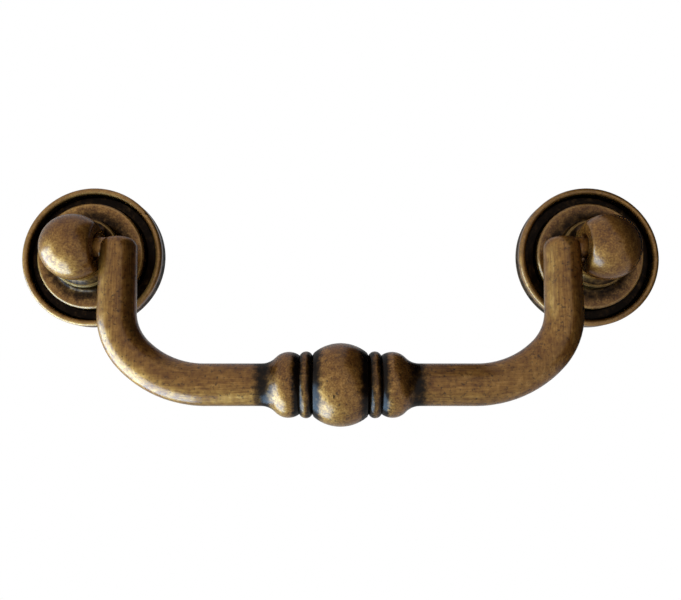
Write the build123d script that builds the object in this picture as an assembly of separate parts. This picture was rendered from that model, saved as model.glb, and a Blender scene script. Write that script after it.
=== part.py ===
"""Swinging drawer pull: a cast brass bail that hangs by its two pins from a pair of cast posts.

Millimetres. The pull is in its place on an upright drawer front: X runs along the drawer, Z points up,
and the drawer front is the plane y = 0, with the pull on its -Y side. The origin is midway between the
two fixing screws, on the drawer front. The bail hangs down.
"""

import os
from math import acos, atan, degrees, radians, sin, tan

from build123d import *

# Fixing
hole_spacing = 96.0  # between the screw axes of the two posts
screw_hole_d = 3.3  # bored for an M4 thread
screw_hole_depth = 7.5  # to the end of the full diameter
screw_mouth_d = 4.1  # countersink that starts the screw
drill_point_angle = 118.0

# Rosette of a post, heights measured from the drawer front
rosette_d = 27.0
rim_height = 3.9
rim_width = 1.25
groove_width = 2.05
groove_draft = 0.3  # by which each wall of the groove leans in at its floor
groove_floor_height = 1.9
disc_height = 4.55
back_edge_break = 0.4

# Relief in the back of a post, so that only its rim and its boss touch the drawer
relief_depth = 0.8
relief_rim_width = 1.9
boss_d = 10.0

# Collar and ball head of a post
collar_d = 13.1
collar_height = 7.85
collar_foot_round = 1.3
collar_ledge = 0.45  # width of its top outside the neck
edge_break = 0.25  # on the edges of the disc and the collar
head_d = 11.9
head_height = 13.4  # centre of the ball
neck_angle = 25.0  # below the ball's equator, where the neck begins

# Flat side of the head, and the pins with their holes
flat_distance = 4.05  # from the axis of the post
flat_edge_round = 0.8
pin_height = 12.9  # axis of the pins above the drawer front
pin_d = 3.8
pin_length = 4.8  # beyond the arm
pin_tip_round = 1.2
pin_play = 0.3  # between pin and hole, all round
pin_end_play = 0.75  # between the tip of a pin and the end of its hole
hole_mouth_break = 0.4
arm_play = 0.65  # between an arm and the flat side next to it

# Arms and bar of the bail
arm_d = 6.6  # at the pins
bar_d = 7.5
bail_drop = 24.6  # from the axis of the pins to the axis of the bar
arm_end_round = 2.1
tight_bend_radius = 11.0  # next to the arm
wide_bend_radius = 18.0  # next to the bar
tight_bend_angle = 45.0  # the wide bend makes the rest of the right angle

# Knop in the middle of the bar, widths measured along the bar
knop_ball_d = 14.7
knop_ball_width = 9.4
ball_side_width = 0.25  # from the edge of the ball to the bottom of the groove next to it
knop_groove_d = 10.3  # at the bottom of a groove
knop_ring_d = 11.75
knop_ring_width = 2.25  # from groove to groove
bead_crest_d = 11.6
bead_rise_width = 1.95  # from the groove to the crest
shoulder_width = 4.8  # from the crest of the bead to the bar
bead_share = 0.48  # of the shoulder that is bead, and the rest is a cove

# Places that the pieces share
post_x = hole_spacing / 2
flat_x = post_x - flat_distance
arm_face_x = flat_x - arm_play
arm_x = arm_face_x - arm_d / 2
pin_tip_x = arm_face_x + pin_length


def draw_post_outline():
    """Half of the post's section: over the ball, out to the rim and back along the drawer front."""
    rosette_r = rosette_d / 2
    groove_r = rosette_r - rim_width
    disc_r = groove_r - groove_width
    collar_r = collar_d / 2
    bead_r = rim_width / 2
    ball = CenterArc((0, head_height), head_d / 2, 90, -90 - neck_angle)
    neck = TangentArc(ball @ 1, (collar_r - collar_ledge, collar_height), tangent=ball % 1)
    collar = Polyline(
        neck @ 1,
        (collar_r - edge_break, collar_height),
        (collar_r, collar_height - edge_break),
        (collar_r, disc_height + collar_foot_round),
    )
    collar_foot = JernArc(collar @ 1, (0, -1), collar_foot_round, 90)
    disc_and_groove = Polyline(
        collar_foot @ 1,
        (disc_r - edge_break, disc_height),
        (disc_r, disc_height - edge_break),
        (disc_r + groove_draft, groove_floor_height),
        (groove_r - groove_draft, groove_floor_height),
        (groove_r, rim_height - bead_r),
    )
    rim_bead = JernArc(disc_and_groove @ 1, (0, 1), bead_r, -180)
    Polyline(
        rim_bead @ 1,
        (rosette_r, back_edge_break),
        (rosette_r - back_edge_break, 0),
        (0, 0),
        ball @ 0,
    )


def draw_screw_hole():
    """Half of the section of the screw hole, with its countersink and the point that the drill leaves."""
    hole_r = screw_hole_d / 2
    mouth_r = screw_mouth_d / 2
    drill_point = hole_r / tan(radians(drill_point_angle / 2))
    Polyline(
        (0, 0),
        (mouth_r, 0),
        (hole_r, mouth_r - hole_r),
        (hole_r, screw_hole_depth),
        (0, screw_hole_depth + drill_point),
        close=True,
    )


def make_post():
    """A post with its axis on Z, its back at z = 0 and its flat side towards -X."""
    with BuildPart() as post:
        with BuildSketch(Plane.XZ):
            with BuildLine():
                draw_post_outline()
            make_face()
        revolve(axis=Axis.Z)

        # Flat side of the head, down to the top of the collar
        with Locations((-flat_distance, 0, collar_height)):
            to_the_flat = (Align.MAX, Align.CENTER, Align.MIN)
            Box(head_d, 2 * head_d, 2 * head_d, align=to_the_flat, mode=Mode.SUBTRACT)
        flat = post.faces().filter_by(Axis.X).sort_by(Axis.X)[0]
        fillet([edge for edge in flat.edges() if edge.geom_type != GeomType.LINE], flat_edge_round)

        # Blind hole for the pin, past the axis of the post
        hole_depth = pin_tip_x - flat_x + pin_end_play
        with Locations(Location((-flat_distance, 0, pin_height), (0, 90, 0))):
            Cylinder(pin_d / 2 + pin_play, 2 * hole_depth, mode=Mode.SUBTRACT)
        flat = post.faces().filter_by(Axis.X).sort_by(Axis.X)[0]
        chamfer(flat.inner_wires()[0].edges(), hole_mouth_break)

        # Back: the relief round the boss, and the screw hole in the boss
        relief_r = rosette_d / 2 - relief_rim_width
        with BuildSketch(Plane.XZ):
            with Locations((boss_d / 2, 0)):
                Rectangle(relief_r - boss_d / 2, relief_depth, align=Align.MIN)
            with BuildLine():
                draw_screw_hole()
            make_face()
        revolve(axis=Axis.Z, mode=Mode.SUBTRACT)
    return post.part


def draw_bar_outline(bend_x):
    """Half of the turned bar's section: from the crest of the ball out to where the bend begins."""
    ball_r = knop_ball_d / 2
    ball_edge = knop_ball_width / 2
    groove_r = knop_groove_d / 2
    ring_start = ball_edge + ball_side_width
    ring_end = ring_start + knop_ring_width
    ring_crest = (ring_start + knop_ring_width / 2, knop_ring_d / 2)
    bead_crest = (ring_end + bead_rise_width, bead_crest_d / 2)

    # The shoulder is a convex and a hollow arc of one angle, level at both ends
    shoulder_turn = 2 * degrees(atan((bead_crest_d - bar_d) / 2 / shoulder_width))
    shoulder_radii = shoulder_width / sin(radians(shoulder_turn))

    ball = CenterArc((0, 0), ball_r, 90, degrees(acos(ball_edge / ball_r)) - 90)
    ball_side = Line(ball @ 1, (ring_start, groove_r))
    ring = ThreePointArc(ball_side @ 1, ring_crest, (ring_end, groove_r))
    TangentArc(bead_crest, ring @ 1, tangent=(-1, 0))
    bead_fall = JernArc(bead_crest, (1, 0), bead_share * shoulder_radii, -shoulder_turn)
    cove = JernArc(bead_fall @ 1, bead_fall % 1, (1 - bead_share) * shoulder_radii, shoulder_turn)
    bar = Line(cove @ 1, (bend_x, bar_d / 2))
    Polyline(bar @ 1, (bend_x, 0), (0, 0))


def make_bail():
    """The bail where it hangs: the turned bar, and an arm with its bend and pin at each end."""
    bend_sine = sin(radians(tight_bend_angle))
    bend_height = tight_bend_radius * bend_sine + wide_bend_radius * (1 - bend_sine)
    arm_plane = Plane.XZ.offset(pin_height)
    with BuildPart() as arm:
        # Arm and bend, thicker towards the bar
        with BuildLine(arm_plane) as path:
            straight = Line((arm_x, pin_d / 2), (arm_x, bend_height - bail_drop))
            tight_bend = JernArc(straight @ 1, straight % 1, tight_bend_radius, -tight_bend_angle)
            wide_bend = JernArc(tight_bend @ 1, tight_bend % 1, wide_bend_radius, tight_bend_angle - 90)
        with BuildSketch(Plane(straight ^ 0)) as arm_section:
            Circle(arm_d / 2)
        with BuildSketch(Plane(wide_bend ^ 1)) as bar_section:
            Circle(bar_d / 2)
        sweep(sections=[arm_section.sketch, bar_section.sketch], path=path.line, multisection=True)
        fillet(arm.edges().sort_by(Axis.Z)[-1], arm_end_round)

        # Pin, from the axis of the arm to its round tip
        with Locations(Location((arm_x, -pin_height, 0), (0, 90, 0))):
            Cylinder(pin_d / 2, pin_tip_x - arm_x, align=(Align.CENTER, Align.CENTER, Align.MIN))
        fillet(arm.edges().sort_by(Axis.X)[-1], pin_tip_round)

    bar_middle = Vector(0, -pin_height, -bail_drop)
    with BuildPart() as bar:
        with BuildSketch(Plane(bar_middle, x_dir=(1, 0, 0), z_dir=(0, -1, 0))):
            with BuildLine():
                draw_bar_outline((wide_bend @ 1).X)
                mirror(about=Plane.YZ)
            make_face()
        revolve(axis=Axis(bar_middle, (1, 0, 0)))

    other_arm = arm.part.rotate(Axis(bar_middle, (0, 0, 1)), 180)
    return bar.part + arm.part + other_arm


post = make_post()
nodes = {
    "bail": make_bail(),
    "left_post": Pos(-post_x, 0, 0) * Rotation(90, 0, 180) * post,
    "right_post": Pos(post_x, 0, 0) * Rotation(90, 0, 0) * post,
}
os.makedirs("parts", exist_ok=True)
for name, solid in nodes.items():
    export_step(solid, f"parts/{name}.step")
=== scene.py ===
"""Studio picture of a swinging drawer pull in antique brass: its finish, light, floor and camera.

Metres. X runs along the drawer, Z points up, and the drawer front is the plane y = 0, with the pull on
its -Y side, where the camera stands.
"""

from math import pi

import bpy
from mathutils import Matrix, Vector


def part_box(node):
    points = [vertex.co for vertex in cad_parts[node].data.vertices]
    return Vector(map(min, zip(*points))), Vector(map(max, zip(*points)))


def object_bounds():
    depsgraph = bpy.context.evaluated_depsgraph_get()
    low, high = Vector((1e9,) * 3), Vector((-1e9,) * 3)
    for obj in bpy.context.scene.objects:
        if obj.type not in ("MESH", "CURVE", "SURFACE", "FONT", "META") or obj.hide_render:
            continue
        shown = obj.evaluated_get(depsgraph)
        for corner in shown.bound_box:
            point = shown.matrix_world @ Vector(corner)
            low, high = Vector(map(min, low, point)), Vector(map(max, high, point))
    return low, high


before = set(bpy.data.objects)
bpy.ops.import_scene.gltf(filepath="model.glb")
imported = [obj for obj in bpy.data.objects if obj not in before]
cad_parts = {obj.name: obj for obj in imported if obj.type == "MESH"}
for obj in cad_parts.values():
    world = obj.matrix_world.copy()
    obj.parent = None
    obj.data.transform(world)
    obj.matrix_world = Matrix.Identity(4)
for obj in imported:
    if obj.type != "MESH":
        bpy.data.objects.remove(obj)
cad_low, cad_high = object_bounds()

MM = 0.001

# Places on the pull, read from its pieces. The ball of the knop is the lowest and thickest part of the bail
post_low, post_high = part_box("right_post")
bail_low, bail_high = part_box("bail")
pull_middle = (cad_low + cad_high) / 2
post_x = (post_low.x + post_high.x) / 2
pin_y = (bail_low.y + bail_high.y) / 2
ball_radius = (bail_high.y - bail_low.y) / 2
bar_z = bail_low.z + ball_radius

# Marks in the finish. Scratches are drawn wider than real ones, so that they show
cloud_size = 7 * MM
blotch_size = 1.2 * MM
blotch_depth = 0.03 * MM
speck_size = 0.55 * MM
pit_spacing = 4.5 * MM
pit_radius = 0.3 * MM
pit_floor_radius = 0.15 * MM
scratch_width = 0.3 * MM
scratch_stretch = 12
scratch_depth = 0.012 * MM
crest_reach = 0.8 * MM
hollow_reach = 3.0 * MM
edge_radius = 0.2 * MM

# Wear of the patina: the shares of clouds and scratches next to blotches, and the sums of all three at
# which it is thick and at which it is rubbed thin
cloud_share = 0.7
scratch_share = 0.9
thick_sum = 0.7
thin_sum = 1.9

# Dark of the hollows: how much blotches break up its edge, and where it sets in and is full
blotch_break = 0.6
dark_start = -0.2
dark_full = 0.55

# Rubbed crests: how solid the metal round a point is where rubbing sets in and is full, and its strength
crest_start = 0.92
crest_full = 0.6
crest_strength = 0.75

# Levels of the speck noise at which a speck sets in and is full
speck_start = 0.55
speck_full = 0.68

# Shine of the metal and of its lacquer
patina_roughness = 0.62
rubbed_roughness = 0.46
lacquer_weight = 0.5
lacquer_roughness = 0.25

# Dark bands beside the ball of the knop, patina in the grooves and cove and painted shade on the flanks
# beside them: the middle of each along the bar, its half width and darkness
knop_patina_and_shade = (
    (4.7 * MM, 2.5 * MM, 0.95),
    (7.4 * MM, 1.9 * MM, 0.95),
    (13.4 * MM, 3.4 * MM, 0.8),
)
# Sizes of the ragged edge of a dark band of patina and painted shade on the bail, or of a dark hollow on a
# post: how far it wanders on the bail and on a post, and its grain
bail_ragged = 1.1 * MM
post_ragged = 0.8 * MM
ragged_grain = 0.8 * MM

# Casting flaw in the front of the ball: its place from the middle of the ball, half its size, and the
# share of it that is its floor
flaw_place = Vector((-1.1 * MM, -ball_radius, -2.0 * MM))
flaw_size = (0.17 * MM, 2.0 * MM, 0.45 * MM)
flaw_floor = 0.6

# Distances along the bar over which scratches turn: off the knop, and into an arm
off_knop = (14 * MM, 16 * MM)
into_arm = (27 * MM, 39 * MM)

# Thread in the screw hole of a post, with the pitch of an M4 screw, and the reach of its turns. It is cut
# last, so less of the dark is left there
thread_pitch = 0.7 * MM
thread_depth = 0.3 * MM
thread_radius = 1.8 * MM
thread_end = 7.2 * MM
thread_cleared = 0.8

# Heights on a post above the drawer front
back_reach = 0.9 * MM
groove_floor = 1.8 * MM
groove_dark = 3.2 * MM
groove_top = 4.0 * MM
collar_top = 7.9 * MM
ball_side = 10.5 * MM
# Where painted shade on the low outer wall, next to the drawer front, sets in and is full
wall_shade_top = 3.3 * MM
wall_shade_foot = 2.0 * MM

# Distances from the axis of a post
collar_foot = 7.4 * MM
disc_edge = 10.6 * MM
rim_inside = 12.0 * MM
rim_crest = 12.9 * MM

# How dark the patina in the groove and round the collar is, and the painted shade on the outer wall
groove_darkness = 0.8
disc_darkness = 0.7
wall_shade_darkness = 0.65

# Noise of fine scratches and of ragged edges, and the mean level of any noise
scratch_noise = {"Scale": 1 / scratch_width, "Detail": 3.0}
ragged_noise = {"Scale": 1 / ragged_grain, "Detail": 3.0}
noise_mean = 0.5

# Inputs and outputs of a Mix node that mixes numbers or colours
NUMBER_A = 2
NUMBER_B = 3
NUMBER_OUT = 0
COLOUR_A = 6
COLOUR_B = 7
COLOUR_OUT = 2


def colour(hex_code):
    """The linear colour of an sRGB hex value."""
    shares = [int(hex_code[place : place + 2], 16) / 255 for place in (1, 3, 5)]
    linear = [s / 12.92 if s <= 0.04045 else ((s + 0.055) / 1.055) ** 2.4 for s in shares]
    return (*linear, 1.0)


def add(tree, kind, inputs, **settings):
    """A new node with its settings, each input given a value or linked from another node's output."""
    node = tree.nodes.new("ShaderNode" + kind)
    for name, value in settings.items():
        setattr(node, name, value)
    for name, value in inputs.items():
        if isinstance(value, bpy.types.NodeSocket):
            tree.links.new(value, node.inputs[name])
        else:
            node.inputs[name].default_value = value
    return node


def new_material(name):
    """An empty node material, and its output node."""
    material = bpy.data.materials.new(name)
    material.use_nodes = True
    material.node_tree.nodes.clear()
    return material, add(material.node_tree, "OutputMaterial", {})


def bail_scratches(tree, place):
    """Rubbing marks: every way on the knop, along the bar beside it, and along the arms at the ends."""
    away = add(tree, "VectorMath", {0: place}, operation="ABSOLUTE").outputs[0]
    along_bar = add(tree, "SeparateXYZ", {0: away}).outputs["X"]
    marks = add(tree, "TexNoise", {"Vector": place, **scratch_noise}).outputs["Fac"]
    along_x = (1 / scratch_stretch, 1, 1)
    along_z = (1, 1, 1 / scratch_stretch)
    for stretch, (start, end) in ((along_x, off_knop), (along_z, into_arm)):
        long = add(tree, "Mapping", {"Vector": place, "Scale": stretch}).outputs[0]
        long = add(tree, "TexNoise", {"Vector": long, **scratch_noise}).outputs["Fac"]
        turn = {"Value": along_bar, "From Min": start, "From Max": end}
        turn = add(tree, "MapRange", turn, interpolation_type="SMOOTHSTEP").outputs[0]
        marks = {"Factor": turn, NUMBER_A: marks, NUMBER_B: long}
        marks = add(tree, "Mix", marks, data_type="FLOAT").outputs[NUMBER_OUT]
    return marks


def bail_patina_and_shade(tree, place, corners):
    """How dark the bail is: patina at its corners, ragged bands beside the ball that are patina in the
    grooves with painted shade on their flanks, and the casting flaw.
    """
    flaw = Vector((0, pin_y, bar_z)) + flaw_place
    flaw = add(tree, "VectorMath", {0: place, 1: flaw}, operation="SUBTRACT").outputs[0]
    flaw = add(tree, "VectorMath", {0: flaw, 1: flaw_size}, operation="DIVIDE").outputs[0]
    flaw = add(tree, "VectorMath", {0: flaw}, operation="LENGTH").outputs["Value"]
    flaw = {"Value": flaw, "From Min": 1.0, "From Max": flaw_floor}
    flaw = add(tree, "MapRange", flaw, interpolation_type="SMOOTHSTEP").outputs[0]
    dark = add(tree, "Math", {0: corners, 1: flaw}, operation="MAXIMUM").outputs[0]

    away = add(tree, "VectorMath", {0: place}, operation="ABSOLUTE").outputs[0]
    along_bar = add(tree, "SeparateXYZ", {0: away}).outputs["X"]
    ragged = add(tree, "TexNoise", {"Vector": place, **ragged_noise}).outputs["Fac"]
    ragged = {0: ragged, 1: bail_ragged, 2: along_bar}
    ragged = add(tree, "Math", ragged, operation="MULTIPLY_ADD").outputs[0]
    # Each band is patina in a groove or cove, widened over the flanks beside it as painted shade
    for middle, half_width, darkness in knop_patina_and_shade:
        aside = {0: ragged, 1: middle + noise_mean * bail_ragged}
        aside = add(tree, "Math", aside, operation="SUBTRACT").outputs[0]
        aside = add(tree, "Math", {0: aside}, operation="ABSOLUTE").outputs[0]
        band = {"Value": aside, "From Min": half_width, "From Max": 0.0, "To Max": darkness}
        band = add(tree, "MapRange", band, interpolation_type="SMOOTHSTEP").outputs[0]
        dark = add(tree, "Math", {0: dark, 1: band}, operation="MAXIMUM").outputs[0]
    return dark


def around_post(tree, place):
    """Height above the drawer front, distance from the axis of the nearer post, and angle round it."""
    axes = add(tree, "SeparateXYZ", {0: place}).outputs
    height = add(tree, "Math", {0: axes["Y"], 1: -1.0}, operation="MULTIPLY").outputs[0]
    side = add(tree, "Math", {0: axes["X"]}, operation="SIGN").outputs[0]
    aside = {0: side, 1: -post_x, 2: axes["X"]}
    aside = add(tree, "Math", aside, operation="MULTIPLY_ADD").outputs[0]
    across = add(tree, "CombineXYZ", {"X": aside, "Y": axes["Z"]}).outputs[0]
    radius = add(tree, "VectorMath", {0: across}, operation="LENGTH").outputs["Value"]
    angle = add(tree, "Math", {0: aside, 1: axes["Z"]}, operation="ARCTAN2").outputs[0]
    return height, radius, angle


def in_screw_hole(tree, height, radius):
    """1 on the wall of the screw hole as far as its thread reaches, and 0 elsewhere."""
    inside = add(tree, "Math", {0: radius, 1: thread_radius}, operation="LESS_THAN").outputs[0]
    below_end = add(tree, "Math", {0: height, 1: thread_end}, operation="LESS_THAN").outputs[0]
    return add(tree, "Math", {0: inside, 1: below_end}, operation="MULTIPLY").outputs[0]


def post_scratches(tree, place):
    """Fine marks every way, as a cast face keeps them, and the turns of the thread in the screw hole.

    The finish draws marks one scratch deep, so the thread is given as a multiple of that.
    """
    marks = add(tree, "TexNoise", {"Vector": place, **scratch_noise}).outputs["Fac"]
    height, radius, angle = around_post(tree, place)
    turns = {0: height, 1: 2 * pi / thread_pitch, 2: angle}
    turns = add(tree, "Math", turns, operation="MULTIPLY_ADD").outputs[0]
    turns = add(tree, "Math", {0: turns}, operation="SINE").outputs[0]
    turns = {0: turns, 1: thread_depth / 2 / scratch_depth}
    turns = add(tree, "Math", turns, operation="MULTIPLY").outputs[0]
    marks = {"Factor": in_screw_hole(tree, height, radius), NUMBER_A: marks, NUMBER_B: turns}
    return add(tree, "Mix", marks, data_type="FLOAT").outputs[NUMBER_OUT]


def post_patina_and_shade(tree, place, corners):
    """How dark a post is: patina in the groove, round the collar and at its corners, and painted shade on
    the low outer wall next to the drawer front.
    """
    height, radius, _ = around_post(tree, place)
    ragged = add(tree, "TexNoise", {"Vector": place, **ragged_noise}).outputs["Fac"]
    ragged = add(tree, "Math", {0: ragged, 1: noise_mean}, operation="SUBTRACT").outputs[0]
    ragged = {0: ragged, 1: post_ragged, 2: radius}
    ragged = add(tree, "Math", ragged, operation="MULTIPLY_ADD").outputs[0]
    shades = {}
    for shade, measure, start, end, darkness in (
        ("groove", height, groove_top, groove_dark, groove_darkness),
        ("above back", height, back_reach, groove_floor, 1.0),
        ("below ball", height, ball_side, collar_top, 1.0),
        ("round collar", ragged, disc_edge, collar_foot, disc_darkness),
        ("inside rim", ragged, rim_crest, rim_inside, 1.0),
        # Painted shade on the low outer wall, next to the drawer front
        ("painted wall shade", height, wall_shade_top, wall_shade_foot, wall_shade_darkness),
    ):
        step = {"Value": measure, "From Min": start, "From Max": end, "To Max": darkness}
        shades[shade] = add(tree, "MapRange", step, interpolation_type="SMOOTHSTEP").outputs[0]
    disc = {0: shades["below ball"], 1: shades["round collar"]}
    disc = add(tree, "Math", disc, operation="MULTIPLY").outputs[0]
    remaining = {0: in_screw_hole(tree, height, radius), 1: -thread_cleared, 2: 1.0}
    remaining = add(tree, "Math", remaining, operation="MULTIPLY_ADD").outputs[0]

    dark = shades["groove"]
    for operation, shade in (
        ("MULTIPLY", shades["above back"]),
        ("MAXIMUM", disc),
        ("MULTIPLY", shades["inside rim"]),
        ("MAXIMUM", shades["painted wall shade"]),
        ("MAXIMUM", corners),
        ("MULTIPLY", remaining),
    ):
        dark = add(tree, "Math", {0: dark, 1: shade}, operation=operation).outputs[0]
    return dark


def make_antique_brass(name, scratches_of, patina_and_shade_of, speck_darkness, hollow_lacquer):
    """Cast brass, darkened brown in a bath, rubbed bright again on its crests and lacquered.

    The eye sees a mottled brown metal, brassy where hands and the rubbing wheel reach, near black where the
    bath stays in the grooves, with fine scratches and soft whitish highlights. Part of the dark is painted
    shade, beside the knop's ball and on the outer wall of a post. scratches_of draws the scratches, and the
    argument after it the dark places, patina and painted shade, of one kind of casting.
    """
    material, output = new_material(name)
    tree = material.node_tree
    place = add(tree, "TexCoord", {}).outputs["Object"]

    # Patina, thick and thin in clouds, in blotches inside them and along scratches
    noises = {}
    for mark, size in (("clouds", cloud_size), ("blotches", blotch_size), ("specks", speck_size)):
        noise = {"Vector": place, "Scale": 1 / size, "Detail": 4.0, "Roughness": 0.62}
        noises[mark] = add(tree, "TexNoise", noise).outputs["Fac"]
    scratches = scratches_of(tree, place)
    uneven = noises["blotches"]
    for mark, share in ((noises["clouds"], cloud_share), (scratches, scratch_share)):
        uneven = {0: mark, 1: share, 2: uneven}
        uneven = add(tree, "Math", uneven, operation="MULTIPLY_ADD").outputs[0]
    wear = {"Value": uneven, "From Min": thick_sum, "From Max": thin_sum}
    wear = add(tree, "MapRange", wear).outputs[0]
    patina = add(tree, "ValToRGB", {"Fac": wear})
    stops = patina.color_ramp.elements
    stops[0].color = colour("#3a220b")
    stops[1].color = colour("#aa8146")
    for position, shade in ((0.35, "#643e16"), (0.6, "#825a26")):
        stops.new(position).color = colour(shade)

    # Dark with blotchy edges: patina kept in the hollows, and painted shade beside the knop's ball and on
    # the outer wall of a post
    open_sky = {"Distance": hollow_reach}
    open_sky = add(tree, "AmbientOcclusion", open_sky, samples=12, only_local=True).outputs["AO"]
    corners = add(tree, "Math", {0: 1.0, 1: open_sky}, operation="SUBTRACT").outputs[0]
    blotchy = {0: noises["blotches"], 1: -blotch_break, 2: patina_and_shade_of(tree, place, corners)}
    blotchy = add(tree, "Math", blotchy, operation="MULTIPLY_ADD").outputs[0]
    darkness = {"Value": blotchy, "From Min": dark_start, "From Max": dark_full}
    darkness = add(tree, "MapRange", darkness, interpolation_type="SMOOTHSTEP").outputs[0]

    # Crests that the rubbing wheel reaches
    solid = {"Distance": crest_reach}
    solid = add(tree, "AmbientOcclusion", solid, samples=12, inside=True, only_local=True).outputs["AO"]
    crests = {"Value": solid, "From Min": crest_start, "From Max": crest_full, "To Max": crest_strength}
    crests = add(tree, "MapRange", crests, interpolation_type="SMOOTHSTEP").outputs[0]

    # Specks of thick patina, and a few casting pits
    specks = {
        "Value": noises["specks"],
        "From Min": speck_start,
        "From Max": speck_full,
        "To Max": speck_darkness,
    }
    specks = add(tree, "MapRange", specks, interpolation_type="SMOOTHSTEP").outputs[0]
    pits = add(tree, "TexVoronoi", {"Vector": place, "Scale": 1 / pit_spacing}).outputs["Distance"]
    pits = {
        "Value": pits,
        "From Min": pit_radius / pit_spacing,
        "From Max": pit_floor_radius / pit_spacing,
    }
    pits = add(tree, "MapRange", pits, interpolation_type="SMOOTHSTEP").outputs[0]
    spots = add(tree, "Math", {0: pits, 1: specks}, operation="MAXIMUM").outputs[0]

    # The dark (patina, and painted shade in places), the crests and the spots, each over the ones before
    surface = patina.outputs[0]
    for cover, shade in ((darkness, "#130c07"), (crests, "#b48f54"), (spots, "#26170a")):
        surface = {"Factor": cover, COLOUR_A: surface, COLOUR_B: colour(shade)}
        surface = add(tree, "Mix", surface, data_type="RGBA").outputs[COLOUR_OUT]

    # Rubbed brass is smoother than thick patina, and the lacquer is thin where it is dark, in the hollows
    # and under the painted shade
    polish = {"Value": wear, "To Min": patina_roughness, "To Max": rubbed_roughness}
    polish = add(tree, "MapRange", polish).outputs[0]
    lacquer = {"Value": darkness, "To Min": lacquer_weight, "To Max": hollow_lacquer}
    lacquer = add(tree, "MapRange", lacquer).outputs[0]
    relief = add(tree, "Bevel", {"Radius": edge_radius}, samples=4).outputs[0]
    for mark, depth in ((scratches, scratch_depth), (noises["blotches"], blotch_depth)):
        relief = add(tree, "Bump", {"Height": mark, "Distance": depth, "Normal": relief}).outputs[0]
    metal = add(
        tree,
        "BsdfPrincipled",
        {
            "Base Color": surface,
            "Metallic": 1.0,
            "Roughness": polish,
            "Specular Tint": colour("#4a5c68"),
            "Coat Weight": lacquer,
            "Coat Roughness": lacquer_roughness,
            "Normal": relief,
        },
    )
    tree.links.new(metal.outputs[0], output.inputs["Surface"])
    return material


def make_floor():
    """A pale round floor, far under the pull and out of the front view, that fades out at its edge."""
    floor_radius = 1.0
    fade_start = 0.5
    floor_drop = 0.7
    bpy.ops.object.select_all(action="DESELECT")
    bpy.ops.mesh.primitive_circle_add(
        vertices=96, radius=floor_radius, fill_type="NGON", location=(0, 0, -floor_drop)
    )
    bpy.ops.object.transform_apply(location=True)
    floor = bpy.context.active_object
    floor.name = "floor"

    material, output = new_material("pale painted floor")
    tree = material.node_tree
    place = add(tree, "TexCoord", {}).outputs["Object"]
    flat = add(tree, "VectorMath", {0: place, 1: (1, 1, 0)}, operation="MULTIPLY").outputs[0]
    radius = add(tree, "VectorMath", {0: flat}, operation="LENGTH").outputs["Value"]
    fade = {"Value": radius, "From Min": fade_start, "From Max": floor_radius}
    fade = add(tree, "MapRange", fade, interpolation_type="SMOOTHSTEP").outputs[0]
    paint = add(tree, "BsdfDiffuse", {"Color": colour("#e8e8e6")}).outputs[0]
    nothing = add(tree, "BsdfTransparent", {}).outputs[0]
    faded = add(tree, "MixShader", {0: fade, 1: paint, 2: nothing})
    tree.links.new(faded.outputs[0], output.inputs["Surface"])
    floor.data.materials.append(material)


def light_studio():
    """White all round, with a cool window at the lower left and a dark screen at the upper right."""
    toward_window = Vector((-0.78, 0, -0.6)).normalized()
    window_distance = 0.4
    window_size = (0.38, 0.56)
    window_radiance = 16.0
    toward_screen = Vector((0.9, 0, 0.42)).normalized()
    screen_distance = 0.25
    screen_size = 0.7

    world = bpy.data.worlds.new("studio")
    bpy.context.scene.world = world
    world.use_nodes = True
    tree = world.node_tree
    tree.nodes.clear()
    light = add(tree, "Background", {"Color": colour("#ffffff"), "Strength": 1.0})
    add(tree, "OutputWorld", {"Surface": light.outputs[0]})

    pane = bpy.data.lights.new("window", "AREA")
    pane.shape = "RECTANGLE"
    pane.size, pane.size_y = window_size
    pane.energy = window_radiance * pi * window_size[0] * window_size[1]
    pane.color = colour("#aad6ff")[:3]
    window = bpy.data.objects.new("window", pane)
    window.location = pull_middle + window_distance * toward_window
    window.rotation_euler = (-toward_window).to_track_quat("-Z", "Y").to_euler()
    window.visible_camera = False
    bpy.context.scene.collection.objects.link(window)

    bpy.ops.object.select_all(action="DESELECT")
    bpy.ops.mesh.primitive_plane_add(
        size=screen_size,
        location=pull_middle + screen_distance * toward_screen,
        rotation=toward_screen.to_track_quat("Z", "Y").to_euler(),
    )
    bpy.ops.object.transform_apply(location=True, rotation=True)
    screen = bpy.context.active_object
    screen.name = "screen"
    screen.visible_camera = False
    material, output = new_material("black cotton cloth")
    cloth = add(material.node_tree, "BsdfDiffuse", {"Color": colour("#1a1a1c")})
    material.node_tree.links.new(cloth.outputs[0], output.inputs["Surface"])
    screen.data.materials.append(material)


def place_camera():
    """In front of the pull, level with the bar, as close as a hand-held picture is taken."""
    picture_width = 681  # in pixels
    focal_length = 742  # in pixels
    camera_distance = 132 * MM
    camera_place = Vector((0, pin_y - camera_distance, bar_z))
    data = bpy.data.cameras.new("camera")
    data.sensor_fit = "HORIZONTAL"
    data.lens = data.sensor_width * focal_length / picture_width
    data.clip_start = 10 * MM
    camera = bpy.data.objects.new("camera", data)
    camera.location = camera_place
    camera.rotation_euler = (pull_middle - camera_place).to_track_quat("-Z", "Y").to_euler()
    bpy.context.scene.collection.objects.link(camera)
    bpy.context.scene.camera = camera


bail_brass = make_antique_brass(
    "antique brass, turned and rubbed",
    bail_scratches,
    bail_patina_and_shade,
    speck_darkness=0.75,
    hollow_lacquer=0.2,
)
post_brass = make_antique_brass(
    "antique brass, cast and rubbed",
    post_scratches,
    post_patina_and_shade,
    speck_darkness=0.35,
    hollow_lacquer=0.05,
)
for node, finish in (("bail", bail_brass), ("left_post", post_brass), ("right_post", post_brass)):
    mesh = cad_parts[node].data
    mesh.materials.clear()
    mesh.materials.append(finish)

make_floor()
light_studio()
place_camera()
bpy.context.scene.view_settings.view_transform = "Standard"
